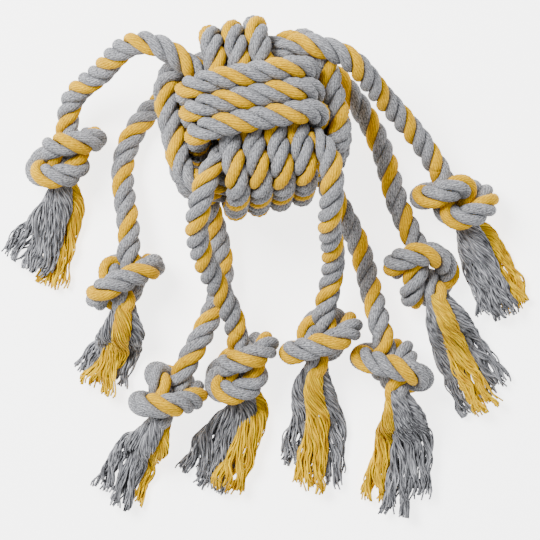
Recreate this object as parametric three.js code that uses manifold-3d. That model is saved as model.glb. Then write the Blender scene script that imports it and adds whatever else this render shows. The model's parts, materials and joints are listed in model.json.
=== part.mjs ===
// Rope dog toy: a ball wound from one long rope as a monkey's fist, and eight rope legs.
// Each leg leaves a corner of the ball, is tied in an overhand knot and ends in three loose strands.
// Millimetres, +Z up. The toy lies on the floor at z = 0, on the ball's lowest turn and on its knots.

import * as THREE from 'three';
import { mergeVertices } from 'three/addons/utils/BufferGeometryUtils.js';
import Module from 'manifold-3d';

// Rope sizes
const legRope = 14;
const fistRope = 12.4;
const knotRope = 12.4;
const turnClearance = 0.6;
const seatClearance = 0.3;
const rootClearance = 0.5;
const seatTolerance = 0.02;

// Ball: a band is three and a half turns, and three bands cross one another
const ballX = -10;
const ballY = 88;
const ballTiltDeg = 11;
const ballSpinDeg = 13;
const bandTurns = 3.5;
const bandCount = 3;
const stepsPerTurn = 24;
const fineStepsPerTurn = 192;
const gapCheckStepsPerTurn = 96;
const fistSides = 6;
const ballHalfShare = 3.14;
const bandPitchShare = 1.007;
const squareness = 4.2;
const crossingSharpness = 1.74;
const crossingBias = 0.035;
const tuckStartDeg = 25;
const tuckSpanDeg = 40.5;
const tuckDepthShare = 0.85;
const tuckDriftShare = 0.084;
const joinPullShare = 0.4633;
const flatCutShare = 0.1;
const floorBlockShare = 4;
const rootSearchShare = 3;
const bendReachShare = 2;
const neighbourTurnShare = 2;

// Core: the legs' ropes go on inside the ball, where the turns grip them in one tight bundle
const coreSides = 16;

// Legs and knots
const legSides = 10;
const legSteps = 12;
const legFineSteps = 160;
const knotSides = 6;
const knotSteps = 40;
const knotFineSteps = 320;
const knotEntryShare = 1.55;
const entryStraightShare = 0.35;
const rootDomeShares = [0.1, 0.45, 0.75];

// Loose strands: half widths and half heights at the start, on the way and at the frayed tip
const strandCount = 3;
const strandSides = 8;
const strandSteps = 8;
const strandStartShare = 0.43;
const strandCircleShare = 0.535;
const strandFallLength = 11;
const strandFallSpread = 7.4;
const strandFallHalf = 3.3;
const strandSettleShare = 0.5;
const strandSettleHeightShare = 0.25;
const strandHalfWidth = 5.1;
const strandHalfHeight = 4.8;
const tipHalfWidth = 5.8;
const tipHalfHeight = 4.4;
const tipRound = 3;
const tipNarrowShare = 0.5;

// The overhand knot's route, in rope layers: across, up and along the leg
const knotRouteShares = [
  [-0.2, 0, -1.55],
  [-0.2, 0, -0.95],
  [0.2, -0.65, 0.15],
  [0.7, -0.45, 0.7],
  [0.95, 0.35, 0.9],
  [0.4, 1.15, 0.95],
  [-0.7, 1.15, 0.55],
  [-1, -0.7, -0.45],
  [-0.2, -1.3, -0.75],
  [0.7, -1.05, -0.75],
  [1, -0.15, -0.65],
  [0.65, 0.5, -0.45],
  [0.25, 0.6, -0.1],
  [-0.2, 0, 1.15],
  [-0.2, 0, 1.55],
];

// Legs: the ball's corner, the rope's way to the knot, the knot's centre in plan with its
// heading, dip and roll, and the last two points of each loose strand, from the leg's left to its right
const legs = [
  {
    corner: [-1, 1, 1],
    route: [
      [-54, 122, 82], [-67, 129, 81], [-79, 129, 75], [-89, 123, 63],
      [-97, 115, 51], [-105, 110, 41], [-114, 104, 31],
    ],
    knot: [-121, 69],
    headingDeg: -94,
    pitchDeg: 14,
    rollDeg: 90,
    mirror: false,
    strands: {
      yellow: [[-116, 20], [-127, -11]],
      grey_b: [[-130, 21], [-140, 1]],
      grey_a: [[-144, 29], [-157, 12]],
    },
  },
  {
    corner: [-1, 1, -1],
    route: [
      [-58, 104, 15], [-70, 96, 12], [-79, 86, 10], [-85, 74, 10],
      [-88, 60, 11], [-87, 47, 15], [-85, 34, 18],
    ],
    knot: [-86, -5],
    headingDeg: -94,
    pitchDeg: -6,
    rollDeg: 60,
    mirror: true,
    strands: {
      grey_b: [[-78, -43], [-85, -62]],
      yellow: [[-92, -48], [-102, -69]],
      grey_a: [[-103, -43], [-112, -55]],
    },
  },
  {
    corner: [-1, -1, 1],
    route: [
      [-38, 45, 89], [-41, 32, 83], [-42, 21, 73], [-40, 11, 62],
      [-36, 1, 52], [-31, -9, 42], [-25, -20, 33],
    ],
    knot: [-17, -56],
    headingDeg: -82,
    pitchDeg: 22,
    rollDeg: 90,
    mirror: false,
    strands: {
      yellow: [[-8, -103], [-20, -129]],
      grey_b: [[-24, -103], [-36, -130]],
      grey_a: [[-39, -91], [-51, -114]],
    },
  },
  {
    corner: [-1, -1, -1],
    route: [
      [-34, 30, 21], [-31, 20, 14], [-29, 8, 10], [-28, -5, 9],
      [-31, -17, 12], [-36, -29, 15], [-41, -40, 19],
    ],
    knot: [-60, -73],
    headingDeg: -115,
    pitchDeg: -6,
    rollDeg: 20,
    mirror: true,
    strands: {
      yellow: [[-64, -112], [-73, -133]],
      grey_b: [[-79, -112], [-90, -138]],
      grey_a: [[-97, -98], [-108, -118]],
    },
  },
  {
    corner: [1, -1, 1],
    route: [
      [35, 55, 94], [35, 42, 90], [34, 31, 81], [34, 22, 69],
      [36, 15, 57], [37, 6, 46], [36, -5, 37],
    ],
    knot: [30, -41],
    headingDeg: -98,
    pitchDeg: 18,
    rollDeg: 90,
    mirror: true,
    strands: {
      grey_b: [[43, -88], [43, -125]],
      yellow: [[29, -90], [22, -128]],
      grey_a: [[15, -83], [9, -105]],
    },
  },
  {
    corner: [1, -1, -1],
    route: [
      [34, 50, 23], [40, 40, 18], [46, 29, 13], [52, 17, 10],
      [56, 5, 9], [59, -8, 12], [62, -20, 17],
    ],
    knot: [72, -56],
    headingDeg: -76,
    pitchDeg: -6,
    rollDeg: -60,
    mirror: false,
    strands: {
      grey_b: [[94, -98], [90, -128]],
      grey_a: [[80, -103], [75, -142]],
      yellow: [[65, -98], [58, -131]],
    },
  },
  {
    corner: [1, 1, -1],
    route: [
      [35, 120, 8], [44, 110, 8], [54, 97, 8], [62, 83, 9],
      [68, 68, 11], [72, 53, 13], [76, 38, 16],
    ],
    knot: [90, -1],
    headingDeg: -68,
    pitchDeg: -6,
    rollDeg: -160,
    mirror: false,
    strands: {
      grey_b: [[122, -42], [138, -66]],
      yellow: [[113, -51], [127, -81]],
      grey_a: [[102, -59], [113, -82]],
    },
  },
  {
    corner: [1, 1, 1],
    route: [
      [28, 127, 81], [43, 122, 77], [53, 114, 68], [61, 105, 56],
      [69, 97, 45], [78, 88, 36], [88, 77, 28],
    ],
    knot: [109, 43],
    headingDeg: -60,
    pitchDeg: 14,
    rollDeg: -90,
    mirror: true,
    strands: {
      yellow: [[140, 11], [154, -17]],
      grey_b: [[130, 1], [140, -25]],
      grey_a: [[118, -2], [125, -22]],
    },
  },
];

// Values worked out from the sizes
const layer = fistRope + turnClearance;
const knotLayer = knotRope + turnClearance;
const bandPitch = layer * bandPitchShare;
const ballHalf = layer * ballHalfShare;
const fullTurn = 2 * Math.PI;
const tuckStart = THREE.MathUtils.degToRad(tuckStartDeg);
const tuckSpan = THREE.MathUtils.degToRad(tuckSpanDeg);
const up = new THREE.Vector3(0, 0, 1);

// Materials
const greyCotton = { color: 0x9fa1a8, roughness: 0.95, metalness: 0 };
const yellowCotton = { color: 0xd9a93a, roughness: 0.95, metalness: 0 };

const wasm = await Module();
wasm.setup();

// Turns a three.js geometry into a solid that can be joined and cut
function toSolid(geometry) {
  const bare = geometry.clone();
  bare.deleteAttribute('normal');
  bare.deleteAttribute('uv');
  const merged = mergeVertices(bare);
  const mesh = new wasm.Mesh({
    numProp: 3,
    vertProperties: new Float32Array(merged.attributes.position.array),
    triVerts: new Uint32Array(merged.index.array),
  });
  return new wasm.Manifold(mesh);
}

// Turns a solid back into a three.js geometry
function toGeometry(solid) {
  const mesh = solid.getMesh();
  const geometry = new THREE.BufferGeometry();
  geometry.setAttribute('position', new THREE.BufferAttribute(new Float32Array(mesh.vertProperties), 3));
  geometry.setIndex(new THREE.BufferAttribute(new Uint32Array(mesh.triVerts), 1));
  geometry.computeVertexNormals();
  return geometry;
}

// Makes a named mesh with a material of its own
function makeMesh(name, geometry, cotton) {
  const mesh = new THREE.Mesh(geometry, new THREE.MeshStandardMaterial(cotton));
  mesh.name = name;
  return mesh;
}

// Length along a list of points, point by point
function runningLengths(points) {
  const lengths = [0];
  for (let i = 1; i < points.length; i += 1) {
    lengths.push(lengths[i - 1] + points[i].distanceTo(points[i - 1]));
  }
  return lengths;
}

// Places count points on a route, closer together where it bends
function spreadPoints(points, count, bendReach) {
  const weights = [0];
  for (let i = 1; i < points.length; i += 1) {
    const ahead = points[Math.min(i + 1, points.length - 1)].clone().sub(points[i]);
    const behind = points[i].clone().sub(points[i - 1]);
    const bend = ahead.lengthSq() > 0 ? behind.angleTo(ahead) : 0;
    weights.push(weights[i - 1] + behind.length() + bendReach * bend);
  }
  const spread = [];
  let from = 0;
  for (let k = 0; k < count; k += 1) {
    const target = (weights[weights.length - 1] * k) / (count - 1);
    while (from < points.length - 2 && weights[from + 1] < target) {
      from += 1;
    }
    const part = (target - weights[from]) / (weights[from + 1] - weights[from]);
    spread.push(points[from].clone().lerp(points[from + 1], Math.min(part, 1)));
  }
  return spread;
}

// Unit direction of the route at each of its points; an end can be set square to what it meets
function directionsOf(points, ends) {
  const directions = points.map((point, i) => {
    const ahead = points[Math.min(i + 1, points.length - 1)];
    const behind = points[Math.max(i - 1, 0)];
    return ahead.clone().sub(behind).normalize();
  });
  if (ends.first) {
    directions[0] = ends.first;
  }
  if (ends.last) {
    directions[points.length - 1] = ends.last;
  }
  return directions;
}

// Sides of each ring: level rings keep their width flat, the others turn as little as they can
function sidesOf(directions, level) {
  let side = new THREE.Vector3().crossVectors(directions[0], up);
  if (side.lengthSq() < Number.EPSILON) {
    side.set(1, 0, 0);
  }
  return directions.map((direction) => {
    if (level) {
      side = new THREE.Vector3().crossVectors(direction, up);
    } else {
      side = side.clone().addScaledVector(direction, -side.dot(direction));
    }
    side.normalize();
    return side;
  });
}

// Sweeps an oval ring along points; each ring has a half width and a half height
function sweep(points, halfWidths, halfHeights, count, level, ends) {
  const directions = directionsOf(points, ends);
  const sides = sidesOf(directions, level);
  const positions = [];
  const index = [];
  points.forEach((point, i) => {
    const rise = new THREE.Vector3().crossVectors(sides[i], directions[i]);
    for (let k = 0; k < count; k += 1) {
      const angle = (fullTurn * k) / count;
      const corner = point.clone();
      corner.addScaledVector(sides[i], Math.cos(angle) * halfWidths[i]);
      corner.addScaledVector(rise, Math.sin(angle) * halfHeights[i]);
      positions.push(corner.x, corner.y, corner.z);
    }
  });
  for (let i = 0; i < points.length - 1; i += 1) {
    for (let k = 0; k < count; k += 1) {
      const here = i * count + k;
      const next = i * count + ((k + 1) % count);
      index.push(here, next + count, next);
      index.push(here, here + count, next + count);
    }
  }
  const last = (points.length - 1) * count;
  for (let k = 1; k < count - 1; k += 1) {
    index.push(0, k, k + 1);
    index.push(last, last + k + 1, last + k);
  }
  const geometry = new THREE.BufferGeometry();
  geometry.setAttribute('position', new THREE.Float32BufferAttribute(positions, 3));
  geometry.setIndex(index);
  geometry.computeVertexNormals();
  return geometry;
}

// A round rope of one diameter
function sweepRope(points, diameter, sides, ends) {
  const halves = points.map(() => diameter / 2);
  return sweep(points, halves, halves, sides, false, ends);
}

// One point of a band: it lies over one neighbour band and dives under the other
function bandPoint(angle) {
  const toEnd = Math.min(angle, bandTurns * fullTurn - angle);
  const tuck = 1 - THREE.MathUtils.smoothstep(toEnd, 0, tuckSpan);
  const turn = angle / fullTurn - bandTurns / 2;
  const across = bandPitch * turn * (1 - tuckDriftShare * tuck);
  const half = (ballHalf ** squareness - Math.abs(across) ** squareness) ** (1 / squareness);
  const cos = Math.cos(angle);
  const sin = Math.sin(angle);
  const spread = Math.abs(cos) ** squareness + Math.abs(sin) ** squareness;
  const reach = half / spread ** (1 / squareness);
  const outward = new THREE.Vector2(
    Math.sign(cos) * Math.abs(cos) ** (squareness - 1),
    Math.sign(sin) * Math.abs(sin) ** (squareness - 1),
  ).normalize();
  const swing = crossingSharpness * (crossingBias - Math.cos(2 * angle));
  const level = THREE.MathUtils.clamp(swing, -1, 1);
  const lift = (layer / 2) * (3 * level - level ** 3) / 2 - layer * tuckDepthShare * tuck;
  return [reach * cos + lift * outward.x, reach * sin + lift * outward.y, across];
}

// All three bands as one route, each joined to the next by a tucked bend inside a corner
function fistRoute() {
  const first = tuckStart;
  const last = bandTurns * fullTurn - tuckStart;
  const steps = Math.round(fineStepsPerTurn * bandTurns);
  const turnAxes = [
    ([under, over, across]) => new THREE.Vector3(under, -across, -over),
    ([under, over, across]) => new THREE.Vector3(over, -under, -across),
    ([under, over, across]) => new THREE.Vector3(across, -over, -under),
  ];
  const route = [];
  turnAxes.slice(0, bandCount).forEach((turnAxis) => {
    const band = [];
    for (let i = 0; i <= steps; i += 1) {
      band.push(turnAxis(bandPoint(first + ((last - first) * i) / steps)));
    }
    if (route.length > 0) {
      const from = route[route.length - 1];
      const leaving = from.clone().sub(route[route.length - 2]).normalize();
      const arriving = band[1].clone().sub(band[0]).normalize();
      const pull = from.distanceTo(band[0]) * joinPullShare;
      const join = new THREE.CubicBezierCurve3(
        from,
        from.clone().addScaledVector(leaving, pull),
        band[0].clone().addScaledVector(arriving, -pull),
        band[0],
      );
      const bend = join.getPoints(stepsPerTurn);
      route.push(...bend.slice(1, -1));
    }
    route.push(...band);
  });
  return route;
}

// The ball's set in the toy: spun and leaning back
const ballTurn = new THREE.Matrix4().makeRotationX(THREE.MathUtils.degToRad(-ballTiltDeg));
ballTurn.multiply(new THREE.Matrix4().makeRotationZ(THREE.MathUtils.degToRad(ballSpinDeg)));

const fistFine = fistRoute().map((point) => point.applyMatrix4(ballTurn));
const lowestTurn = Math.min(...fistFine.map((point) => point.z));
const ballZ = fistRope * (0.5 - flatCutShare) - lowestTurn;
const ballCentre = new THREE.Vector3(ballX, ballY, ballZ);
fistFine.forEach((point) => point.add(ballCentre));
const fistTurns = bandTurns * bandCount + 1;
const fistSteps = Math.round(stepsPerTurn * fistTurns);
const fistPoints = spreadPoints(fistFine, fistSteps, layer * bendReachShare);

// Least space between turns of one rope, measured on close points of its route
function leastGap(points, diameter) {
  const lengths = runningLengths(points);
  let least = Infinity;
  for (let i = 0; i < points.length; i += 1) {
    for (let j = i + 1; j < points.length; j += 1) {
      if (lengths[j] - lengths[i] > diameter * neighbourTurnShare) {
        least = Math.min(least, points[i].distanceTo(points[j]));
      }
    }
  }
  return least - diameter;
}

// The ball's rope, cut flat where the toy stands on it
function fistWinding() {
  const rope = toSolid(sweepRope(fistPoints, fistRope, fistSides, {}));
  const width = ballHalf * floorBlockShare;
  const floorBlock = new THREE.BoxGeometry(width, width, fistRope);
  floorBlock.translate(ballX, ballY, -fistRope / 2);
  return toGeometry(rope.subtract(toSolid(floorBlock)));
}

// The triangles of a closed surface
function trianglesOf(geometry) {
  const triangles = [];
  for (let i = 0; i < geometry.index.count; i += 3) {
    const corners = [i, i + 1, i + 2].map((k) => (
      new THREE.Vector3().fromBufferAttribute(geometry.attributes.position, geometry.index.getX(k))
    ));
    triangles.push(new THREE.Triangle(...corners));
  }
  return triangles;
}

// Where a leg leaves the ball: its round root goes in along the corner's diagonal until it seats
// on the turns, or to the narrowest place between them
function legRoot(corner, turns) {
  const outward = new THREE.Vector3(...corner).applyMatrix4(ballTurn).normalize();
  const root = ballCentre.clone().addScaledVector(outward, ballHalf * rootSearchShare);
  const nearest = new THREE.Vector3();
  let before = Infinity;
  let gap = ballHalf;
  while (gap > seatTolerance && gap < before) {
    root.addScaledVector(outward, -gap);
    const distances = turns.map((triangle) => triangle.closestPointToPoint(root, nearest).distanceTo(root));
    before = gap;
    gap = Math.min(...distances) - legRope / 2 - rootClearance;
  }
  return root;
}

// The bundle inside the ball fills the room that the turns leave
function legCore() {
  const nearest = Math.min(...fistFine.map((point) => point.distanceTo(ballCentre)));
  const radius = nearest - fistRope / 2 - seatClearance;
  const bundle = new THREE.SphereGeometry(radius, coreSides, coreSides / 2);
  bundle.translate(...ballCentre.toArray());
  return bundle;
}

// Lifts what would reach into the floor
function layOnFloor(points, half) {
  points.forEach((point) => {
    point.z = Math.max(point.z, half + seatClearance);
  });
  return points;
}

// The overhand knot along its own Z, and the height that its lowest turn needs
function knotShape(leg) {
  const flip = leg.mirror ? -1 : 1;
  const route = knotRouteShares.map(([x, y, z]) => (
    new THREE.Vector3(x * flip, y, z).multiplyScalar(knotLayer)
  ));
  const fine = new THREE.CatmullRomCurve3(route, false, 'centripetal').getPoints(knotFineSteps);
  const heading = THREE.MathUtils.degToRad(leg.headingDeg);
  const pitch = THREE.MathUtils.degToRad(leg.pitchDeg);
  const along = new THREE.Vector3(Math.cos(heading), Math.sin(heading), -Math.tan(pitch)).normalize();
  const across = new THREE.Vector3().crossVectors(up, along).normalize();
  across.applyAxisAngle(along, THREE.MathUtils.degToRad(leg.rollDeg));
  const rise = new THREE.Vector3().crossVectors(along, across);
  const turn = new THREE.Matrix4().makeBasis(across, rise, along);
  const placed = fine.map((point) => point.clone().applyMatrix4(turn));
  const height = knotRope / 2 - Math.min(...placed.map((point) => point.z));
  const centre = new THREE.Vector3(leg.knot[0], leg.knot[1], height);
  const shift = new THREE.Vector3(route[0].x, route[0].y, 0).applyMatrix4(turn);
  return { fine, turn, centre, along, shift };
}

// The leg's rope: a round root in its seat, then the way to the knot's entry
function legRopePoints(leg, root, knot) {
  const entry = knot.centre.clone().add(knot.shift);
  entry.addScaledVector(knot.along, -knotEntryShare * knotLayer - seatClearance);
  const straight = entry.clone().addScaledVector(knot.along, -legRope * entryStraightShare);
  const route = [
    root,
    ...leg.route.map((point) => new THREE.Vector3(...point)),
    straight,
    entry,
  ];
  const curve = new THREE.CatmullRomCurve3(route, false, 'centripetal');
  const points = spreadPoints(curve.getPoints(legFineSteps), legSteps + 1, legRope);
  return layOnFloor(points, legRope / 2);
}

// The leg's rope with its rounded root
function legRopeGeometry(points, knot) {
  const half = legRope / 2;
  const back = points[0].clone().sub(points[1]).normalize();
  const domeAngles = rootDomeShares.map((share) => (share * Math.PI) / 2);
  const dome = domeAngles.map((angle) => points[0].clone().addScaledVector(back, half * Math.cos(angle)));
  const halves = domeAngles.map((angle) => half * Math.sin(angle));
  points.forEach(() => halves.push(half));
  return sweep([...dome, ...points], halves, halves, legSides, false, { last: knot.along });
}

// A loose strand: it starts thin against the knot, falls to the floor, and widens to its frayed tip
function strandGeometry(knot, side, way) {
  const across = new THREE.Vector3().crossVectors(knot.along, up).normalize();
  const rise = new THREE.Vector3().crossVectors(across, knot.along);
  const exit = knot.centre.clone().add(knot.shift);
  exit.addScaledVector(knot.along, knotEntryShare * knotLayer + seatClearance);
  const circle = (knotRope / 2) * strandCircleShare;
  const seatAngle = Math.PI / 2 - (side * fullTurn) / strandCount;
  const start = exit.clone().addScaledVector(across, circle * Math.cos(seatAngle));
  start.addScaledVector(rise, circle * Math.sin(seatAngle));
  const fall = exit.clone().addScaledVector(knot.along, strandFallLength);
  fall.addScaledVector(across, side * strandFallSpread);
  fall.addScaledVector(rise, circle * Math.sin(seatAngle));
  const floor = strandHalfHeight + seatClearance;
  const [middle, tip] = way.map(([x, y]) => new THREE.Vector3(x, y, floor));
  const settle = fall.clone().lerp(middle, strandSettleShare);
  settle.z = floor + (fall.z - floor) * strandSettleHeightShare;
  const curve = new THREE.CatmullRomCurve3([start, fall, settle, middle, tip], false, 'centripetal');
  const points = layOnFloor(curve.getPoints(strandSteps), strandHalfHeight);
  const end = points[points.length - 1];
  const last = end.clone().sub(points[points.length - 2]).normalize();
  points.push(end.clone().addScaledVector(last, tipRound));
  const startHalf = (knotRope / 2) * strandStartShare;
  const settleHalf = (strandFallHalf + strandHalfHeight) / 2;
  const narrow = [startHalf, startHalf, strandFallHalf, strandFallHalf, settleHalf];
  const widths = [...narrow, strandHalfWidth, strandHalfWidth, strandHalfWidth];
  const heights = [...narrow, strandHalfHeight, strandHalfHeight, strandHalfHeight];
  widths.push(tipHalfWidth, tipHalfWidth * tipNarrowShare);
  heights.push(tipHalfHeight, tipHalfHeight * tipNarrowShare);
  return sweep(points, widths, heights, strandSides, true, { first: knot.along });
}

const toy = new THREE.Group();
const winding = fistWinding();
const turns = trianglesOf(winding);
toy.add(makeMesh('fist_winding', winding, greyCotton));
toy.add(makeMesh('leg_core', legCore(), greyCotton));

legs.forEach((leg, i) => {
  const root = legRoot(leg.corner, turns);
  const name = `leg_${i + 1}`;
  const group = new THREE.Group();
  group.name = name;
  group.position.copy(root);
  const knot = knotShape(leg);
  const ropePoints = legRopePoints(leg, root, knot);
  group.add(makeMesh(`${name}_rope`, legRopeGeometry(ropePoints, knot), greyCotton));
  const knotPoints = spreadPoints(knot.fine, knotSteps, knotLayer);
  const knotGeometry = sweepRope(knotPoints, knotRope, knotSides, { first: up, last: up });
  const tied = makeMesh(`${name}_knot`, knotGeometry, greyCotton);
  tied.quaternion.setFromRotationMatrix(knot.turn);
  group.add(tied);
  Object.entries(leg.strands).forEach(([strand, way], k) => {
    const cotton = strand === 'yellow' ? yellowCotton : greyCotton;
    group.add(makeMesh(`${name}_tassel_${strand}`, strandGeometry(knot, k - 1, way), cotton));
  });
  group.children.forEach((mesh) => mesh.position.sub(root));
  tied.position.add(knot.centre);
  toy.add(group);
});

const fistCheck = spreadPoints(fistFine, Math.round(gapCheckStepsPerTurn * fistTurns), layer);
console.log('least gap in the ball, mm:', leastGap(fistCheck, fistRope).toFixed(2));
console.log('least gap in a knot, mm:', leastGap(knotShape(legs[0]).fine, knotRope).toFixed(2));

export default toy;
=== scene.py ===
# %% [markdown]
# # A rope dog toy
# The toy is a ball with eight legs, all of one kind of rope: three cotton strands, two heather
# grey and one mustard yellow, laid together with a right-hand twist. The ball is tied as a
# monkey's fist, each leg ends in an overhand knot, and past the knot its three strands fall
# open as a tassel. The solid model already says where each piece lies. This file gives the
# same pieces their strands, their yarns and their cotton.

import json
import math

import bpy
import numpy as np
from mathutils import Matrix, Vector


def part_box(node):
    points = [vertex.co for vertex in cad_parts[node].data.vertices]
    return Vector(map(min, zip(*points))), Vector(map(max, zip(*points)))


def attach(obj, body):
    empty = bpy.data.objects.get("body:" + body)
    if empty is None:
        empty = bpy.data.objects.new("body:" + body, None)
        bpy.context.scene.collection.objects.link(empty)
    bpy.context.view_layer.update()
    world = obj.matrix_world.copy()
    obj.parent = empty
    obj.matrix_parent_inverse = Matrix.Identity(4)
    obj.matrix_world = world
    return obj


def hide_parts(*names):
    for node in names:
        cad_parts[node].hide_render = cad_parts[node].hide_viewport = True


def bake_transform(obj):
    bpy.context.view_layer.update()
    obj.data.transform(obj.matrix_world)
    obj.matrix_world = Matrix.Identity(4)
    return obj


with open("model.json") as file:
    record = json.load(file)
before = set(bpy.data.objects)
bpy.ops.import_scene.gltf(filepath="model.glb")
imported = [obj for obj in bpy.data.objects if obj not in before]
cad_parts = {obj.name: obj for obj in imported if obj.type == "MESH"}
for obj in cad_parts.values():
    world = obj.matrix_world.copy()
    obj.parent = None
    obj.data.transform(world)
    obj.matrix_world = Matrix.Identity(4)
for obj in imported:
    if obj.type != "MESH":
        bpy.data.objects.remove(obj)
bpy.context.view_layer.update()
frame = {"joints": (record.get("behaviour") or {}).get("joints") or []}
roots = {joint["child"]: np.array(joint["pos_m"]) for joint in frame["joints"]}

# %% [markdown]
# ## Camera
# The toy lies flat on the floor and is seen from straight above, as it would be laid out on a
# table for a picture. A camera without perspective would flatten it. A long lens from 1.5 m
# keeps a little depth, and still the ball, which stands 0.11 m high, doesn't look much larger
# than the tassels on the floor.

# %% Camera above the floor
camera_height = 1.5
view_width = 0.324  # metres of floor from the picture's left edge to its right
camera_data = bpy.data.cameras.new("camera_above")
camera_data.lens = camera_data.sensor_width * camera_height / view_width
camera = bpy.data.objects.new("camera_above", camera_data)
camera.location = (0, 0, camera_height)
bpy.context.collection.objects.link(camera)
bpy.context.scene.camera = camera
print("lens, mm:", round(camera_data.lens, 1))

# %% [markdown]
# ## Rope sizes
# A three-strand rope has three round strands that press against one another, so each is a
# little wider than it is thick. The lay length is how far the rope runs while a strand goes
# round it once, and on this soft rope it is about two diameters. Each strand holds many yarns,
# twisted the other way, so that on the rope's outside they run nearly along the rope. One
# plain tube with a striped material would be quicker to make, but a real rope's outline is a
# row of bumps, so each strand is modelled.

# %% Sizes of the rope and its strands, in metres
MM = 0.001
rope_diameter = 0.014
lay_length = 0.030
strand_offset = 0.0041  # from the rope's middle to a strand's middle
strand_half_thick = 0.0029
strand_half_wide = 0.0033
yarns_round_strand = 12
strand_sides = 2 * yarns_round_strand
yarn_groove_share = 0.055  # how deep a groove between yarns is, as a share of the radius
yarn_turn_length = 0.0226  # a yarn goes once round its strand in this length
ring_step = 0.00125
full_turn = 2 * math.pi
up = np.array([0.0, 0.0, 1.0])
print("lay length, in rope diameters:", round(lay_length / rope_diameter, 1))


# %% [markdown]
# ## Routes
# A rope is drawn along its centre line, a smooth curve through a few points, cut into even
# steps. A curve object could hold such a line too. Plain points are used, because three
# strands have to wind round the line, and that takes sums at every step. Each step carries a
# pair of directions across the rope, turned as little as possible from step to step, so that
# all the twist that shows is the rope's own lay.

# %% Smooth lines
def unit(vectors):
    """The same directions, each with a length of one."""
    return vectors / np.linalg.norm(vectors, axis=-1, keepdims=True)


def running_length(route):
    """How far along the route each of its points lies."""
    return np.concatenate([[0], np.cumsum(np.linalg.norm(np.diff(route, axis=0), axis=1))])


def smooth_route(points, steps=24):
    """A centripetal Catmull-Rom curve, which passes through every point without loops."""
    points = [np.array(point, float) for point in points]
    points = [2 * points[0] - points[1], *points, 2 * points[-1] - points[-2]]
    t = np.linspace(0, 1, steps, endpoint=False)[:, None]
    curve = []
    for a, b, c, d in zip(points, points[1:], points[2:], points[3:]):
        before, here, after = (np.linalg.norm(q - p) ** 0.5 for p, q in ((a, b), (b, c), (c, d)))
        leaving = ((b - a) / before - (c - a) / (before + here) + (c - b) / here) * here
        arriving = ((c - b) / here - (d - b) / (here + after) + (d - c) / after) * here
        curve.append(b + leaving * t + (3 * (c - b) - 2 * leaving - arriving) * t**2
                     + (2 * (b - c) + leaving + arriving) * t**3)
    return np.vstack([*curve, points[-2][None]])


def even_steps(route, step, softening=0):
    """The route in even steps; softening rounds off small corners and keeps the ends."""
    lengths = running_length(route)
    marks = np.linspace(0, lengths[-1], max(int(round(lengths[-1] / step)), 2) + 1)
    even = np.stack([np.interp(marks, lengths, route[:, axis]) for axis in range(3)], axis=1)
    for _ in range(softening):
        even[1:-1] = (even[:-2] + 2 * even[1:-1] + even[2:]) / 4
    return even


corner_line = np.array([[0.0, 0, 0], [0.02, 0, 0], [0.02, 0.02, 0]])
softened = even_steps(corner_line, ring_step, softening=6)
print("a soft corner shortens a 40 mm line to, mm:", round(running_length(softened)[-1] / MM, 1))

# %% Directions across a line
upright_limit = 0.1  # a line that starts steeper than this has no clear level side


def carried_directions(route):
    """The two directions across the route at each step, with no twist of their own."""
    along = unit(np.gradient(route, axis=0))
    guess = np.cross(along[0], up)
    side = guess if np.linalg.norm(guess) > upright_limit else np.array([1.0, 0.0, 0.0])
    sides = []
    for direction in along:
        side = side - direction * (side @ direction)
        side = side / np.linalg.norm(side)
        sides.append(side)
    sides = np.array(sides)
    return sides, np.cross(along, sides)


def lay_turn(route, phase):
    """A strand's angle round the rope at each step, in radians."""
    return phase + full_turn * running_length(route) / lay_length


print("turns of the lay in that line:", round(lay_turn(softened, 0)[-1] / full_turn, 2))


# %% [markdown]
# ## From rings to a mesh
# Every piece here is made of tubes: a row of rings joined by four-sided faces, closed with a
# flat face at each end. A bevelled curve makes such tubes too, but it can't say where a point
# lies on the strand. These tubes store that, as two numbers round the strand and one along
# it. The material draws its yarns from these, so the pattern follows the strand through every
# bend.

# %% Build a mesh from tubes
def add_piece(name, tubes, materials):
    """tubes is a list of (rings, places on the strand, material number)."""
    vertices, places, quads, caps, quad_slots, cap_slots = [], [], [], [], [], []
    start = 0
    for rings, place, slot in tubes:
        count, sides = rings.shape[:2]
        i = np.arange(count - 1)[:, None] * sides + start
        k = np.arange(sides)[None]
        after = (k + 1) % sides
        faces = np.stack([i + k, i + sides + k, i + sides + after, i + after], axis=-1)
        quads.append(faces.reshape(-1, 4))
        quad_slots += [slot] * len(quads[-1])
        last = start + (count - 1) * sides
        caps += [list(range(start, start + sides)), list(range(last + sides - 1, last - 1, -1))]
        cap_slots += [slot, slot]
        vertices.append(rings.reshape(-1, 3))
        places.append(place.reshape(-1, 3))
        start += count * sides
    mesh = bpy.data.meshes.new(name)
    mesh.from_pydata(np.vstack(vertices).tolist(), [], np.vstack(quads).tolist() + caps)
    mesh.polygons.foreach_set("material_index", quad_slots + cap_slots)
    mesh.polygons.foreach_set("use_smooth", [True] * len(quad_slots) + [False] * len(caps))
    attribute = mesh.attributes.new("strand_place", "FLOAT_VECTOR", "POINT")
    attribute.data.foreach_set("vector", np.vstack(places).astype(np.float32).ravel())
    for material in materials:
        mesh.materials.append(material)
    mesh.update()
    piece = bpy.data.objects.new(name, mesh)
    bpy.context.collection.objects.link(piece)
    print(name, "tubes:", len(tubes), "faces:", len(mesh.polygons))
    return piece


# %% [markdown]
# ## The laid rope
# Each strand is a helix round the rope's centre line. Its section is an oval set square to
# the strand's own direction, wide where it presses on its neighbours. The points of a ring
# go round with the yarns, one on each yarn and one in each groove, so the yarns are in the
# shape and not only painted on. A slow, slight swell along each strand keeps it from looking
# machined, because cotton yarn is never quite even. A screw modifier would wind all this in
# one go, but only round a straight line.

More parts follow.
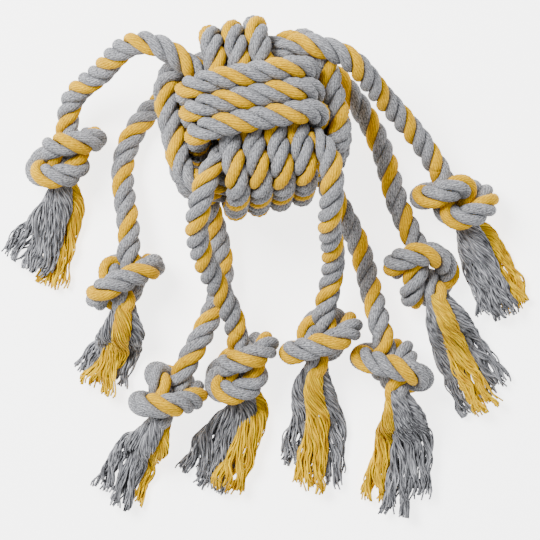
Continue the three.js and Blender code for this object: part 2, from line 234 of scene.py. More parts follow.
# %% One strand of a rope
swell_waves = ((0.009, 0.018), (0.023, 0.028), (0.061, 0.022))  # each a length and a depth
pattern_shift = 10  # metres: starts each strand at another place of the pattern


def strand_rings(route, turn, radius_share, seed):
    """Rings of one strand. turn is its angle round the rope at each step, in radians."""
    sides, rises = carried_directions(route)
    outward = np.cos(turn)[:, None] * sides + np.sin(turn)[:, None] * rises
    centres = route + outward * (strand_offset * radius_share)[:, None]
    strand_along = unit(np.gradient(centres, axis=0))
    across = unit(np.cross(strand_along, outward))
    outward = np.cross(across, strand_along)
    lengths = running_length(centres)
    dice = np.random.default_rng(seed)
    swell = np.ones(len(route))
    for wave, depth in swell_waves:
        swell += depth * np.sin(full_turn * (lengths / wave + dice.random()))
    yarn_angles = np.linspace(0, full_turn, strand_sides, endpoint=False)
    angles = yarn_angles[None] + full_turn * (lengths / yarn_turn_length + dice.random())[:, None]
    grooves = 1 - yarn_groove_share * (np.arange(strand_sides) % 2)
    size = radius_share * swell
    wide = np.cos(angles) * grooves * (strand_half_wide * size)[:, None]
    thick = np.sin(angles) * grooves * (strand_half_thick * size)[:, None]
    rings = centres[:, None] + across[:, None] * wide[..., None] + outward[:, None] * thick[..., None]
    mean_radius = (strand_half_wide + strand_half_thick) / 2
    place = np.empty(rings.shape)
    place[..., 0] = np.cos(yarn_angles) * mean_radius
    place[..., 1] = np.sin(yarn_angles) * mean_radius
    place[..., 2] = (lengths + dice.random() * pattern_shift)[:, None]
    return rings, place


strand_outline = full_turn * (strand_half_wide + strand_half_thick) / 2
print("width of a yarn, mm:", round(strand_outline / yarns_round_strand / MM, 1))


# %% [markdown]
# ## Cotton
# Both cottons are spun yarn with a matt, slightly fuzzy surface. The grey is a heather: pale
# and dark fibres are mixed before spinning, which gives the eye fine flecks along the yarn.
# The mustard yarn is dyed in one colour and only varies in tone. A picture of real yarn could
# be laid on the strands, but it would repeat and stretch. Noise that is measured along the
# strand does neither.

# %% Colours and a node helper
def linear(hex_colour):
    """An sRGB hex colour as the linear values that shaders use."""
    channels = [int(hex_colour[i:i + 2], 16) / 255 for i in (1, 3, 5)]
    return [c / 12.92 if c <= 0.04045 else ((c + 0.055) / 1.055) ** 2.4 for c in channels] + [1.0]


def add_node(tree, kind, inputs=None, **settings):
    """Adds a node. An input is a value, or the output of another node that feeds it."""
    node = tree.nodes.new(kind)
    for name, value in settings.items():
        setattr(node, name, value)
    for name, value in (inputs or {}).items():
        if isinstance(value, bpy.types.NodeSocket):
            tree.links.new(value, node.inputs[name])
        else:
            node.inputs[name].default_value = value
    return node


print("heather grey's pale fibres, linear:", [round(c, 2) for c in linear("#B5B6BA")[:3]])

# %% Patterns of the yarn
patches_per_metre = 90.0  # a patch of one tone is about 11 mm long


def fibre_flecks(tree, place, fleck_mm, stretch, share):
    """Noise drawn out along the yarn, and the same noise parted into dark and pale flecks."""
    drawn_out = add_node(tree, "ShaderNodeVectorMath", {0: place, 1: (1, 1, 1 / stretch)},
                         operation="MULTIPLY")
    fibres = add_node(tree, "ShaderNodeTexNoise", {
        "Vector": drawn_out.outputs[0], "Scale": 1 / (fleck_mm * MM), "Detail": 3.0, "Roughness": 0.6,
    })
    flecks = add_node(tree, "ShaderNodeMapRange", {
        "Value": fibres.outputs[0], "From Min": 0.5 - share, "From Max": 0.5 + share,
    })
    return fibres.outputs[0], flecks.outputs[0]


def tone_patches(tree, place, depth):
    """Slow changes of tone along the yarn, round 1."""
    cloudy = add_node(tree, "ShaderNodeTexNoise", {
        "Vector": place, "Scale": patches_per_metre, "Detail": 1.0,
    })
    tone = add_node(tree, "ShaderNodeMapRange", {
        "Value": cloudy.outputs[0], "From Min": 0.3, "From Max": 0.7,
        "To Min": 1 - depth, "To Max": 1 + depth,
    })
    return tone.outputs[0]


def yarn_ridges(tree, place, ridges):
    """1 on top of each yarn round the strand and 0 in the groove between two."""
    apart = add_node(tree, "ShaderNodeSeparateXYZ", {0: place})
    angle = add_node(tree, "ShaderNodeMath", {0: apart.outputs[1], 1: apart.outputs[0]},
                     operation="ARCTAN2")
    turned = add_node(tree, "ShaderNodeMath", {0: angle.outputs[0], 1: float(ridges)},
                      operation="MULTIPLY")
    wave = add_node(tree, "ShaderNodeMath", {0: turned.outputs[0]}, operation="COSINE")
    ridge = add_node(tree, "ShaderNodeMapRange", {
        "Value": wave.outputs[0], "From Min": -1.0, "From Max": 0.6,
    })
    return ridge.outputs[0]


print("length of a patch of one tone, mm:", round(1 / patches_per_metre / MM))

# %% [markdown]
# ## Spun cotton
# Loose fibres scatter the light, so cotton is very rough, shines hardly at all and has a faint
# sheen at its edges. Its IOR is about 1.5. The colour is painted darker in the grooves between
# yarns than on their tops, as painted shade where less light falls. Real flecks are single
# fibres, far too fine to show in this picture, so they are drawn 0.5 mm wide and more. On the
# loose yarns they are long too, so that one yarn stands out from the next.

# %% One cotton
# painted shade: the colour in the grooves between yarns is darkened to this share
painted_groove_shade = 0.66
cotton_surface = {
    "Roughness": 0.92, "IOR": 1.46, "Specular IOR Level": 0.12, "Sheen Weight": 0.04,
    "Sheen Roughness": 0.5,
}


def spun_cotton(name, dark, pale, fleck_mm, fleck_stretch, fleck_share, ridges, ridge_mm, tone_depth):
    """Cotton with flecks of two colours, ridges ridge_mm high, painted shade in grooves and patches of
    tone.
    """
    material = bpy.data.materials.new(name)
    material.use_nodes = True
    tree = material.node_tree
    place = add_node(tree, "ShaderNodeAttribute", attribute_name="strand_place").outputs["Vector"]
    fibres, flecks = fibre_flecks(tree, place, fleck_mm, fleck_stretch, fleck_share)
    tone = tone_patches(tree, place, tone_depth)
    ridge = yarn_ridges(tree, place, ridges)
    # painted shade: darkens the colour in the grooves between yarns
    groove_shade = add_node(tree, "ShaderNodeMapRange", {"Value": ridge, "To Min": painted_groove_shade, "To Max": 1.0})
    # painted groove shade times the random patches of tone
    light = add_node(tree, "ShaderNodeMath", {0: groove_shade.outputs[0], 1: tone}, operation="MULTIPLY")
    heather = add_node(tree, "ShaderNodeMix", {0: flecks, 6: linear(dark), 7: linear(pale)},
                       data_type="RGBA")
    shaded = add_node(tree, "ShaderNodeVectorMath", {0: heather.outputs[2], "Scale": light.outputs[0]},
                      operation="SCALE")
    fibre_relief = add_node(tree, "ShaderNodeBump", {
        "Height": fibres, "Strength": 0.6, "Distance": ridge_mm * MM / 2,
    })
    relief = add_node(tree, "ShaderNodeBump", {
        "Height": ridge, "Normal": fibre_relief.outputs[0], "Strength": 0.7, "Distance": ridge_mm * MM,
    })
    shader = tree.nodes["Principled BSDF"]
    tree.links.new(shaded.outputs[0], shader.inputs["Base Color"])
    tree.links.new(relief.outputs[0], shader.inputs["Normal"])
    for socket, value in cotton_surface.items():
        shader.inputs[socket].default_value = value
    return material


print("roughness of the cotton:", cotton_surface["Roughness"])

# %% The four cottons
# In the laid rope the yarns are pressed together, so flecks are short and the ridges are
# the twelve yarns.
grey_strand = spun_cotton(
    "heather_grey_cotton_strand", "#36373B", "#B5B6BA", fleck_mm=0.5, fleck_stretch=2, fleck_share=0.18,
    ridges=yarns_round_strand, ridge_mm=0.2, tone_depth=0.08)
yellow_strand = spun_cotton(
    "mustard_cotton_strand", "#A87200", "#F6C400", fleck_mm=0.6, fleck_stretch=2, fleck_share=0.2,
    ridges=yarns_round_strand, ridge_mm=0.2, tone_depth=0.08)
# A loose yarn shows its two plies as ridges, and long streaks that set it off from the next.
grey_yarn = spun_cotton(
    "heather_grey_cotton_yarn", "#1F2024", "#AEAFB4", fleck_mm=1.1, fleck_stretch=7, fleck_share=0.17,
    ridges=2, ridge_mm=0.12, tone_depth=0.3)
yellow_yarn = spun_cotton(
    "mustard_cotton_yarn", "#A06A00", "#FFD600", fleck_mm=1.4, fleck_stretch=9, fleck_share=0.2,
    ridges=2, ridge_mm=0.12, tone_depth=0.25)
strand_cottons = {"yellow": yellow_strand, "grey_a": grey_strand, "grey_b": grey_strand}
yarn_cottons = {"yellow": yellow_yarn, "grey_a": grey_yarn, "grey_b": grey_yarn}
print("cottons:", sorted({cotton.name for cotton in (*strand_cottons.values(), *yarn_cottons.values())}))


# %% [markdown]
# ## The legs' routes
# These are the places that the solid model gives each leg: the way of the rope from the ball
# to its knot, the knot's place and set, and where each loose strand ends. They are in metres,
# and turns are in degrees. The legs could be let fall in a simulation, but then each would
# lie where it chose and not where the toy's legs lie. A leg's strands are listed from its
# left to its right.

# %% Routes of the legs
legs = {
    1: {
        "route": [
            (-0.054, 0.122, 0.082), (-0.067, 0.129, 0.081), (-0.079, 0.129, 0.075),
            (-0.089, 0.123, 0.063), (-0.097, 0.115, 0.051), (-0.105, 0.110, 0.041),
            (-0.114, 0.104, 0.031),
        ],
        "knot": (-0.121, 0.069), "heading": -94, "dip": 14, "roll": 90,
        "mirror": False,
        "strands": {
            "yellow": [(-0.116, 0.020), (-0.127, -0.011)],
            "grey_b": [(-0.130, 0.021), (-0.140, 0.001)],
            "grey_a": [(-0.144, 0.029), (-0.157, 0.012)],
        },
    },
    2: {
        "route": [
            (-0.058, 0.104, 0.015), (-0.070, 0.096, 0.012), (-0.079, 0.086, 0.010),
            (-0.085, 0.074, 0.010), (-0.088, 0.060, 0.011), (-0.087, 0.047, 0.015),
            (-0.085, 0.034, 0.018),
        ],
        "knot": (-0.086, -0.005), "heading": -94, "dip": -6, "roll": 60,
        "mirror": True,
        "strands": {
            "grey_b": [(-0.078, -0.043), (-0.085, -0.062)],
            "yellow": [(-0.092, -0.048), (-0.102, -0.069)],
            "grey_a": [(-0.103, -0.043), (-0.112, -0.055)],
        },
    },
    3: {
        "route": [
            (-0.038, 0.045, 0.089), (-0.041, 0.032, 0.083), (-0.042, 0.021, 0.073),
            (-0.040, 0.011, 0.062), (-0.036, 0.001, 0.052), (-0.031, -0.009, 0.042),
            (-0.025, -0.020, 0.033),
        ],
        "knot": (-0.017, -0.056), "heading": -82, "dip": 22, "roll": 90,
        "mirror": False,
        "strands": {
            "yellow": [(-0.008, -0.103), (-0.020, -0.129)],
            "grey_b": [(-0.024, -0.103), (-0.036, -0.130)],
            "grey_a": [(-0.039, -0.091), (-0.051, -0.114)],
        },
    },
    4: {
        "route": [
            (-0.034, 0.030, 0.021), (-0.031, 0.020, 0.014), (-0.029, 0.008, 0.010),
            (-0.028, -0.005, 0.009), (-0.031, -0.017, 0.012), (-0.036, -0.029, 0.015),
            (-0.041, -0.040, 0.019),
        ],
        "knot": (-0.060, -0.073), "heading": -115, "dip": -6, "roll": 20,
        "mirror": True,
        "strands": {
            "yellow": [(-0.064, -0.112), (-0.073, -0.133)],
            "grey_b": [(-0.079, -0.112), (-0.090, -0.138)],
            "grey_a": [(-0.097, -0.098), (-0.108, -0.118)],
        },
    },
    5: {
        "route": [
            (0.035, 0.055, 0.094), (0.035, 0.042, 0.090), (0.034, 0.031, 0.081),
            (0.034, 0.022, 0.069), (0.036, 0.015, 0.057), (0.037, 0.006, 0.046),
            (0.036, -0.005, 0.037),
        ],
        "knot": (0.030, -0.041), "heading": -98, "dip": 18, "roll": 90,
        "mirror": True,
        "strands": {
            "grey_b": [(0.043, -0.088), (0.043, -0.125)],
            "yellow": [(0.029, -0.090), (0.022, -0.128)],
            "grey_a": [(0.015, -0.083), (0.009, -0.105)],
        },
    },
    6: {
        "route": [
            (0.034, 0.050, 0.023), (0.040, 0.040, 0.018), (0.046, 0.029, 0.013),
            (0.052, 0.017, 0.010), (0.056, 0.005, 0.009), (0.059, -0.008, 0.012),
            (0.062, -0.020, 0.017),
        ],
        "knot": (0.072, -0.056), "heading": -76, "dip": -6, "roll": -60,
        "mirror": False,
        "strands": {
            "grey_b": [(0.094, -0.098), (0.090, -0.128)],
            "grey_a": [(0.080, -0.103), (0.075, -0.142)],
            "yellow": [(0.065, -0.098), (0.058, -0.131)],
        },
    },
    7: {
        "route": [
            (0.035, 0.120, 0.008), (0.044, 0.110, 0.008), (0.054, 0.097, 0.008),
            (0.062, 0.083, 0.009), (0.068, 0.068, 0.011), (0.072, 0.053, 0.013),
            (0.076, 0.038, 0.016),
        ],
        "knot": (0.090, -0.001), "heading": -68, "dip": -6, "roll": -160,
        "mirror": False,
        "strands": {
            "grey_b": [(0.122, -0.042), (0.138, -0.066)],
            "yellow": [(0.113, -0.051), (0.127, -0.081)],
            "grey_a": [(0.102, -0.059), (0.113, -0.082)],
        },
    },
    8: {
        "route": [
            (0.028, 0.127, 0.081), (0.043, 0.122, 0.077), (0.053, 0.114, 0.068),
            (0.061, 0.105, 0.056), (0.069, 0.097, 0.045), (0.078, 0.088, 0.036),
            (0.088, 0.077, 0.028),
        ],
        "knot": (0.109, 0.043), "heading": -60, "dip": 14, "roll": -90,
        "mirror": True,
        "strands": {
            "yellow": [(0.140, 0.011), (0.154, -0.017)],
            "grey_b": [(0.130, 0.001), (0.140, -0.025)],
            "grey_a": [(0.118, -0.002), (0.125, -0.022)],
        },
    },
}
print("legs:", len(legs), "points on their routes:", sum(len(leg["route"]) for leg in legs.values()))

# %% [markdown]
# ## The overhand knot
# An overhand knot is a loop with its end passed through. Its route is a list of shares of one
# rope layer: across, up and along the leg. One list that is known to tie, with room for the
# rope at each crossing, serves all eight knots. Each is turned to its leg's heading, tipped,
# rolled and, on half of the legs, mirrored, because hands tie it both ways.

# %% Overhand knot
knot_layer = 0.0130  # from middle to middle where the rope lies on itself
knot_rope = 0.0124  # the solid rope in a knot; the soft strands bulge past it
knot_entry_share = 1.55
seat_gap = 0.0003  # the solid model leaves this much at each end of a knot
knot_steps = 20
knot_route_shares = [
    (-0.2, 0, -1.55), (-0.2, 0, -0.95), (0.2, -0.65, 0.15), (0.7, -0.45, 0.7), (0.95, 0.35, 0.9),
    (0.4, 1.15, 0.95), (-0.7, 1.15, 0.55), (-1, -0.7, -0.45), (-0.2, -1.3, -0.75),
    (0.7, -1.05, -0.75), (1, -0.15, -0.65), (0.65, 0.5, -0.45), (0.25, 0.6, -0.1),
    (-0.2, 0, 1.15), (-0.2, 0, 1.55),
]


def place_knot(leg):
    """The knot's centre line in place, its direction along the leg, and its entry and exit."""
    heading, dip, roll = (math.radians(leg[key]) for key in ("heading", "dip", "roll"))
    along = unit(np.array([math.cos(heading), math.sin(heading), -math.tan(dip)]))
    level = unit(np.cross(up, along))
    across = level * math.cos(roll) + np.cross(along, level) * math.sin(roll)
    axes = np.array([across, np.cross(along, across), along])
    shares = np.array(knot_route_shares)
    shares[:, 0] *= -1 if leg["mirror"] else 1
    route = smooth_route(shares * knot_layer, steps=knot_steps) @ axes
    centre = np.array([*leg["knot"], knot_rope / 2 - route[:, 2].min()])
    shift = centre + shares[0, 0] * knot_layer * across
    reach = along * (knot_entry_share * knot_layer + seat_gap)
    return route + centre, along, shift - reach, shift + reach


print("rope in one knot, mm:", round(running_length(place_knot(legs[1])[0])[-1] / MM))

# %% [markdown]
# ## One leg
# The leg's rope and its knot are one rope on the real toy. Two pieces made one by one would
# show a seam where their strands don't meet. So one route is made for both, the lay runs
# through them without a break, and the mesh is parted only where the solid model parts it.
# Inside the ball the rope goes on a little way between the turns, thinner because they
# squeeze it, in a gentle bend as limp rope takes. The strands are turned so that at the
# knot's exit the middle one lies on top and each meets its own tassel.

# %% Route of a leg from inside the ball to its knot's exit
core_low, core_high = (np.array(corner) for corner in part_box("leg_core"))
ball_centre = (core_low + core_high) / 2
inner_reach = 0.012  # how far the rope goes on inside the ball
inward_share = 0.6  # the rest goes straight against the way in which the rope leaves
entry_straight = 0.0049
free_softening = 30
join_softening = 6
steps_past_middle = 40


def leg_route(number, leg):
    """The route, the step at which the knot begins, and the knot's direction and exit."""
    root = roots[f"leg_{number}"]
    knot, along, entry, leaving = place_knot(leg)
    leaves_by = unit(np.array(leg["route"][0]) - root)
    inward = unit(unit(ball_centre - root) * inward_share - leaves_by * (1 - inward_share))
    stops = [root + inward * inner_reach, root, *leg["route"], entry - along * entry_straight, entry]
    free = even_steps(smooth_route(stops), ring_step, softening=free_softening)
    route = even_steps(np.vstack([free, knot]), ring_step, softening=join_softening)
    off_entry = np.linalg.norm(route - entry, axis=1)
    split = int(np.argmin(off_entry[: len(route) // 2 + steps_past_middle]))
    return route, split, along, leaving


for number, leg in legs.items():
    route, split, _, _ = leg_route(number, leg)
    print(f"leg_{number} steps:", len(route), "of them in the knot:", len(route) - split)

# %% Rope and knot of a leg
squeezed_share = 0.72
knot_fullness = 0.05  # the strands bulge a little more in the knot and close its loops
growing_length = 0.02
least_height = 0.0002  # keeps the lowest strands off the floor


def build_leg_rope(number, leg):
    """The rope and knot of a leg, and where and in which direction its tassels begin."""
    name = f"leg_{number}"
    route, split, along, leaving = leg_route(number, leg)
    sides, rises = carried_directions(route)
    top_side = np.cross(unit(np.cross(along, up)), along)
    end_turn = math.atan2(top_side @ rises[-1], top_side @ sides[-1])
    phase = end_turn - lay_turn(route, 0)[-1]
    lengths = running_length(route)
    share = np.clip(squeezed_share + lengths / growing_length * (1 - squeezed_share), squeezed_share, 1)
    share = share + knot_fullness * np.clip((lengths - lengths[split]) / growing_length, 0, 1)
    rope_tubes, knot_tubes = [], []
    for slot, side in enumerate((-1, 0, 1)):
        turn = lay_turn(route, phase + side * full_turn / 3)
        rings, place = strand_rings(route, turn, share, seed=number * 10 + side)
        rings[..., 2] = np.maximum(rings[..., 2], least_height)
        rope_tubes.append((rings[: split + 1], place[: split + 1], slot))
        knot_tubes.append((rings[split:], place[split:], slot))
    cottons = [strand_cottons[colour] for colour in leg["strands"]]
    rope = add_piece(f"{name}_twisted_rope", rope_tubes, cottons)
    tied = add_piece(f"{name}_overhand_knot", knot_tubes, cottons)
    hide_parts(f"{name}_rope")
    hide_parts(f"{name}_knot")
    return rope, tied, route[: split + 1], along, leaving


print("rope squeezed inside the ball, mm:", round(rope_diameter * squeezed_share / MM, 1))

# %% [markdown]
# ## Tassels
# Past the knot each strand falls open into its yarns. At first they keep their left-hand
# twist. Then the twist fades, the yarns gather in locks that wave together, and the bundle
# spreads into a flat, ragged fan on the floor. Which strand lies over the others differs from
# leg to leg. Hair curves would be light and quick, but every yarn is a tube of its own here,
# so that it is a real shape in each file that is made from the scene.

# %% Line of a bundle
tassel_height = 0.0048
strand_fall_length = 0.011
strand_fall_spread = 0.0074
strand_circle_share = 0.535
start_inside = 0.005  # a bundle begins inside the knot, so that no gap shows
settle_share = 0.4
bundle_step = 0.001
bundle_softening = 30
usual_draw_in = (0.4, 0.4)  # how far the left and right strands lie in over the middle one's way
other_draw_ins = {4: (0.55, 0.5), 6: (0.3, 0.3), 7: (0.1, 0.45)}


def tassel_axis(leg, colour, draw_in, rise_over, along, leaving, side):
    """The middle line of a bundle: out of the knot, down to the floor and along it."""
    across = unit(np.cross(along, up))
    rise = np.cross(across, along)
    angle = math.pi / 2 - side * full_turn / 3
    circle = knot_rope / 2 * strand_circle_share
    low = rise * circle * math.sin(angle)
    start = leaving + across * circle * math.cos(angle) + low
    fall = leaving + along * strand_fall_length + across * side * strand_fall_spread + low
    height = tassel_height + rise_over
    inner_way = list(leg["strands"].values())[1]
    middle, tip = (
        np.array([*(np.array(place) * (1 - draw_in) + np.array(inner) * draw_in), height])
        for place, inner in zip(leg["strands"][colour], inner_way))
    settle = (fall + middle) / 2
    settle[2] = height + max(fall[2] - height, 0) * settle_share
    stops = [start - along * start_inside, start, fall, settle, middle, tip]
    return even_steps(smooth_route(stops), bundle_step, bundle_softening)


print("legs with a draw-in of their own:", list(other_draw_ins))

# %% Tubes of the yarns
yarn_radius = 0.00054
yarn_sides = 5
yarn_steps = 28
ply_turn_length = 0.0028
root_share = 0.75
root_steps = 6
least_aside = np.array([1e-6, 0, 0])  # gives a yarn that points straight up a side too


def yarn_tubes(paths, dice):
    """A tube round each path. paths has a row of points for each yarn."""
    along = unit(np.gradient(paths, axis=1))
    side = unit(np.cross(along, up) + least_aside)
    rise = np.cross(along, side)
    angles = np.linspace(0, full_turn, yarn_sides, endpoint=False)
    grown = np.minimum(np.arange(yarn_steps) / root_steps, 1)
    thickness = yarn_radius * (root_share + (1 - root_share) * grown)
    round_side = side[:, :, None] * np.cos(angles)[:, None] + rise[:, :, None] * np.sin(angles)[:, None]
    rings = paths[:, :, None] + round_side * thickness[None, :, None, None]
    lengths = np.concatenate([np.zeros((len(paths), 1)), np.cumsum(
        np.linalg.norm(np.diff(paths, axis=1), axis=2), axis=1)], axis=1)
    ply = angles[None, None] + full_turn * lengths[..., None] / ply_turn_length
    offsets = dice.random((len(paths), 1, 1)) * pattern_shift
    place = np.stack([np.cos(ply) * yarn_radius, np.sin(ply) * yarn_radius,
                      np.broadcast_to(lengths[..., None] + offsets, ply.shape)], axis=-1)
    return rings, place


print("width of a loose yarn, mm:", round(2 * yarn_radius / MM, 2))

# %% Places of the yarns in a bundle
yarns_in_tassel = 66
locks_in_tassel = 7
yarn_numbers = np.arange(yarns_in_tassel)
place_angles = yarn_numbers * math.pi * (3 - math.sqrt(5)) % full_turn
yarn_places = np.sqrt((yarn_numbers + 0.5) / yarns_in_tassel) * np.exp(1j * place_angles)
locks = (place_angles / full_turn * locks_in_tassel).astype(int)
lock_middles = np.array([yarn_places[locks == k].mean() for k in range(locks_in_tassel)])[locks]
print("yarns in each lock:", np.bincount(locks).tolist())

# %% Reach and waves of the yarns
reach_scatter = 0.03
reach_limits = (0.86, 1.06)
lock_sway = 0.0011
crimp_depth = 0.0005
shortest_lock_wave, more_lock_wave = 0.020, 0.012
shortest_crimp, more_crimp = 0.010, 0.007


def yarn_marks(dice):
    """Where on the bundle's line each step of each yarn lies, and each lock's throw aside."""
    lock_throw, lock_reach = dice.normal(0, 1, (2, locks_in_tassel))
    own_reach = dice.normal(0, reach_scatter, yarns_in_tassel)
    reach = np.clip(1 + own_reach + reach_scatter * lock_reach[locks], *reach_limits)
    return np.linspace(0, 1, yarn_steps)[None] * reach[:, None], lock_throw[locks][:, None]


def add_waves(sway, lift, lengths, loose, dice):
    """Adds the waves that a lock's yarns share, then each yarn's finer crimp."""
    lock_waves = shortest_lock_wave + more_lock_wave * dice.random((locks_in_tassel, 1))
    yarn_waves = shortest_crimp + more_crimp * dice.random((yarns_in_tassel, 1))
    for waves, depth, group in (
            (lock_waves[locks], lock_sway, locks), (yarn_waves, crimp_depth, yarn_numbers)):
        phases = (dice.random((2, yarns_in_tassel, 1)) * full_turn)[:, group]
        sway += depth * loose * np.sin(full_turn * lengths / waves + phases[0])
        lift += depth / 2 * loose * np.sin(full_turn * lengths / waves + phases[1])


print("a lock's waves are at least, mm:", round(shortest_lock_wave / MM))

# %% Paths of a tassel's yarns
bundle_marks = [0, 0.12, 0.3, 0.6, 1.0]
bundle_half_wide = [0.0038, 0.0050, 0.0060, 0.0080, 0.0112]
bundle_half_thick = [0.0032, 0.0040, 0.0043, 0.0042, 0.0036]
fan_shares = {1: 1.0, 2: 0.95, 3: 1.15, 4: 0.6, 5: 1.1, 6: 0.9, 7: 0.85, 8: 0.9}
loose_from, loosening = 0.2, 1.5
lock_gather_share = 0.45
yarn_twist_turns, twist_fading = 1.1, 1.7
lock_throw_aside = 0.0014
yarn_stray = 0.0006
yarn_floor_gap = 0.0001


def yarn_paths(axis, fan_share, dice):
    """The way of each yarn of a bundle round the bundle's middle line."""
    t, throw = yarn_marks(dice)
    grid = np.linspace(0, 1, len(axis))
    axis_length = running_length(axis)[-1]
    along_axis = unit(np.gradient(axis, axis=0))
    centres = np.stack([np.interp(t, grid, axis[:, k]) for k in range(3)], axis=-1)
    centres += (np.maximum(t - 1, 0) * axis_length)[..., None] * along_axis[-1]
    heading = unit(np.stack([np.interp(t, grid, along_axis[:, k]) for k in range(3)], axis=-1))
    level = unit(np.cross(heading, up))
    rise = np.cross(level, heading)
    loose = np.clip((t - loose_from) * loosening, 0, 1)
    gathered = yarn_places[:, None] + (lock_middles - yarn_places)[:, None] * loose * lock_gather_share
    twisted = gathered * np.exp(1j * full_turn * yarn_twist_turns * (1 - np.exp(-twist_fading * t)))
    half_wide = np.interp(t, bundle_marks, bundle_half_wide) * (1 + (fan_share - 1) * t)
    half_thick = np.interp(t, bundle_marks, bundle_half_thick)
    sway, lift = twisted.real * half_wide, twisted.imag * half_thick
    add_waves(sway, lift, t * axis_length, loose, dice)
    sway += (throw * lock_throw_aside + dice.normal(0, yarn_stray, (yarns_in_tassel, 1))) * t**2
    paths = centres + level * sway[..., None] + rise * lift[..., None]
    paths[..., 2] = np.maximum(paths[..., 2], yarn_radius + yarn_floor_gap)
    return paths


print("half the width of a tassel's tip, mm:", round(bundle_half_wide[-1] / MM, 1))

# %% One tassel
over_rise = 0.0048
over_colours = {1: "grey", 2: "yellow", 3: "yellow", 4: "grey", 5: "yellow", 6: "grey", 7: "yellow",
                8: "grey"}


def build_tassel(number, leg, colour, side, along, leaving):
    """One loose strand. side is -1 for the leg's left strand, 0 for the middle, 1 for the right."""
    name = f"leg_{number}_tassel_{colour}"
    dice = np.random.default_rng(number * 100 + side + 1)
    rise_over = over_rise * colour.startswith(over_colours[number])
    draw_in = other_draw_ins.get(number, usual_draw_in)[side > 0]
    axis = tassel_axis(leg, colour, draw_in, rise_over, along, leaving, side)
    rings, place = yarn_tubes(yarn_paths(axis, fan_shares[number], dice), dice)
    tassel = add_piece(name + "_yarns", [(r, p, 0) for r, p in zip(rings, place)], [yarn_cottons[colour]])
    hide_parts(name)
    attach(tassel, f"leg_{number}")
    return tassel


print("colour that lies over the others on each leg:", over_colours)

# %% [markdown]
# ## All eight legs
# A leg swings at the place where it leaves the ball. Knot and tassels ride on the leg. The
# rope is soft, so it isn't hinged like a rod. Here its piece is not attached to the leg: its
# place is baked into its mesh.

# %% Make the eight legs
for number, leg in legs.items():
    rope, tied, path, along, leaving = build_leg_rope(number, leg)
    body = f"leg_{number}"
    tassels = [build_tassel(number, leg, colour, side, along, leaving)
               for side, colour in zip((-1, 0, 1), leg["strands"])]
    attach(tied, body)
    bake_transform(rope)


# %% [markdown]
# ## The ball
# A monkey's fist is one rope wound in three bands. Each band lies over one of its neighbours
# and dives under the other, and the rope goes from band to band inside a corner. Three sets of
# separate rings would look much the same from afar, but a hand can't tie them. The formula
# here is the one that the solid model uses, with finer steps and the three strands.

# %% One band of the ball
fist_layer = 0.0130  # from middle to middle where one turn lies on another
ball_half = fist_layer * 3.14
band_pitch = fist_layer * 1.007
band_turns = 3.5
squareness = 4.2
crossing_sharpness = 1.74
crossing_bias = 0.035
tuck_start, tuck_span = math.radians(25), math.radians(40.5)
tuck_depth = fist_layer * 0.85
tuck_drift_share = 0.084


def band_points(angle):
    """Points of one band: its own round, the height over the next band, and its way across."""
    to_end = np.minimum(angle, band_turns * full_turn - angle)
    ease = np.clip(to_end / tuck_span, 0, 1)
    tuck = 1 - ease * ease * (3 - 2 * ease)
    across = band_pitch * (angle / full_turn - band_turns / 2) * (1 - tuck_drift_share * tuck)
    half = (ball_half**squareness - np.abs(across)**squareness)**(1 / squareness)
    cos, sin = np.cos(angle), np.sin(angle)
    reach = half / (np.abs(cos)**squareness + np.abs(sin)**squareness)**(1 / squareness)
    outward = unit(np.stack([np.sign(cos) * np.abs(cos)**(squareness - 1),
                             np.sign(sin) * np.abs(sin)**(squareness - 1)], axis=-1))
    level = np.clip(crossing_sharpness * (crossing_bias - np.cos(2 * angle)), -1, 1)
    lift = fist_layer / 4 * (3 * level - level**3) - tuck_depth * tuck
    return reach * cos + lift * outward[:, 0], reach * sin + lift * outward[:, 1], across


print("turns in a band:", band_turns)

# %% Route of the ball's rope
join_pull_share = 0.4633
join_steps = 25
band_steps = 673
ball_tilt, ball_spin = math.radians(-11), math.radians(13)


def join_bands(before, after):
    """A bend from the end of one band to the start of the next."""
    leaving = unit(before[-1] - before[-2])
    arriving = unit(after[1] - after[0])
    pull = np.linalg.norm(after[0] - before[-1]) * join_pull_share
    t = np.linspace(0, 1, join_steps)[1:-1, None]
    p, q = before[-1] + leaving * pull, after[0] - arriving * pull
    return before[-1] * (1 - t)**3 + 3 * p * t * (1 - t)**2 + 3 * q * t * t * (1 - t) + after[0] * t**3


def fist_route():
    """The centre line of the ball's one rope: three bands and the bends between them."""
    angle = np.linspace(tuck_start, band_turns * full_turn - tuck_start, band_steps)
    under, over, across = band_points(angle)
    bands = [np.stack(axes, axis=-1) for axes in (
        (under, -across, -over), (over, -under, -across), (across, -over, -under))]
    route = [bands[0]]
    for band in bands[1:]:
        route += [join_bands(route[-1], band), band]
    c, s = math.cos(ball_spin), math.sin(ball_spin)
    spin = np.array([[c, -s, 0], [s, c, 0], [0, 0, 1]])
    c, s = math.cos(ball_tilt), math.sin(ball_tilt)
    tilt = np.array([[1, 0, 0], [0, c, -s], [0, s, c]])
    return np.vstack(route) @ (tilt @ spin).T + ball_centre


ball_ring_step = 0.0024
ball_route = even_steps(fist_route(), ball_ring_step, softening=1)
print("rope in the ball, m:", round(float(running_length(ball_route)[-1]), 3))

# %% Wind the ball
ball_fullness = np.full(len(ball_route), 1.02)  # soft turns press on one another
ball_tubes = []
for k in range(3):
    turn = lay_turn(ball_route, k * full_turn / 3)
    rings, place = strand_rings(ball_route, turn, ball_fullness, seed=k)
    rings[..., 2] = np.maximum(rings[..., 2], least_height)
    ball_tubes.append((rings, place, k))
ball = add_piece("monkeys_fist_rope", ball_tubes, [yellow_strand, grey_strand, grey_strand])
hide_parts("fist_winding")
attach(ball, "ball")

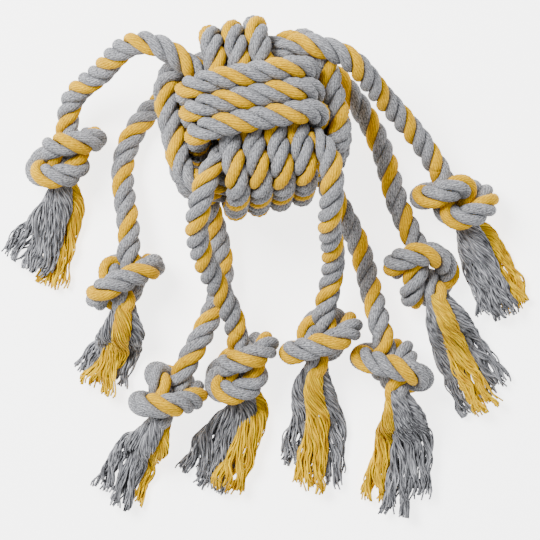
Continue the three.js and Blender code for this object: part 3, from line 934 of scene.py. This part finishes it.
# %% [markdown]
# ## Inside the ball
# The legs' ropes go on inside the ball, gripped in a tight bundle. It shows only as darkness
# between the turns. Eight ropes knotted together there would cost work that nobody sees, so
# it is one short rope, wound round in the room that the turns leave.

# %% Inner bundle
bundle_tilt = 1.1
bundle_points = 160
first_core_seed = 30
core_radius = float(core_high[0] - core_low[0]) / 2
core_reach = core_radius - rope_diameter / 2
t = np.linspace(-1, 1, bundle_points)
bundle = np.stack([
    np.cos(t * full_turn) * np.cos(t * bundle_tilt) * core_reach,
    np.sin(t * full_turn) * np.cos(t * bundle_tilt) * core_reach,
    np.sin(t * bundle_tilt) * core_reach,
], axis=-1) + ball_centre
bundle = even_steps(bundle, ring_step)
core_tubes = []
for k in range(3):
    turn = lay_turn(bundle, k * full_turn / 3)
    core_tubes.append((*strand_rings(bundle, turn, np.ones(len(bundle)), seed=first_core_seed + k), k))
core = add_piece("inner_rope_bundle", core_tubes, [yellow_strand, grey_strand, grey_strand])
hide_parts("leg_core")
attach(core, "ball")

# %% [markdown]
# ## Floor and light
# The floor is plain and pale. Under lamps alone it would come out grey, so it glows softly
# and the picture's ground is nearly white. Small lamps would throw hard shadows of every
# strand. So one large lamp stands high at the upper left and makes soft shadows to the lower
# right, and a weak one opposite and the pale room fill them.

# %% Floor
floor_reach = 3
floor_corners = [(x * floor_reach, y * floor_reach, 0) for x, y in ((-1, -1), (1, -1), (1, 1), (-1, 1))]
floor_material = bpy.data.materials.new("pale_floor_paint")
floor_material.use_nodes = True
floor_shader = floor_material.node_tree.nodes["Principled BSDF"]
floor_shader.inputs["Base Color"].default_value = linear("#F7F7F6")
floor_shader.inputs["Emission Color"].default_value = linear("#FFFFFF")
floor_shader.inputs["Emission Strength"].default_value = 3.4
floor_shader.inputs["Roughness"].default_value = 0.8
floor_mesh = bpy.data.meshes.new("floor")
floor_mesh.from_pydata(floor_corners, [], [(0, 1, 2, 3)])
floor_mesh.materials.append(floor_material)
floor = bpy.data.objects.new("floor", floor_mesh)
bpy.context.collection.objects.link(floor)
print("floor, m across:", 2 * floor_reach)

# %% Lamps and room
lamp_target = np.array([0, 0, ball_centre[2] / 2])
room_light = 0.37


def add_lamp(name, place, size, watts):
    """A square lamp that is turned towards the toy."""
    lamp_data = bpy.data.lights.new(name, "AREA")
    lamp_data.size = size
    lamp_data.energy = watts
    lamp = bpy.data.objects.new(name, lamp_data)
    lamp.location = place
    lamp.rotation_euler = Vector(lamp_target - np.array(place)).to_track_quat("-Z", "Y").to_euler()
    bpy.context.collection.objects.link(lamp)
    print(name, "W:", watts)


add_lamp("key_lamp", (-0.7, 0.6, 1.3), 0.7, 61)
add_lamp("fill_lamp", (0.9, -0.3, 1.0), 1.2, 6)
room = bpy.data.worlds.new("pale_room")
room.use_nodes = True
room.node_tree.nodes["Background"].inputs["Color"].default_value = linear("#FFFFFF")
room.node_tree.nodes["Background"].inputs["Strength"].default_value = room_light
bpy.context.scene.world = room
print("light from the room:", room_light)
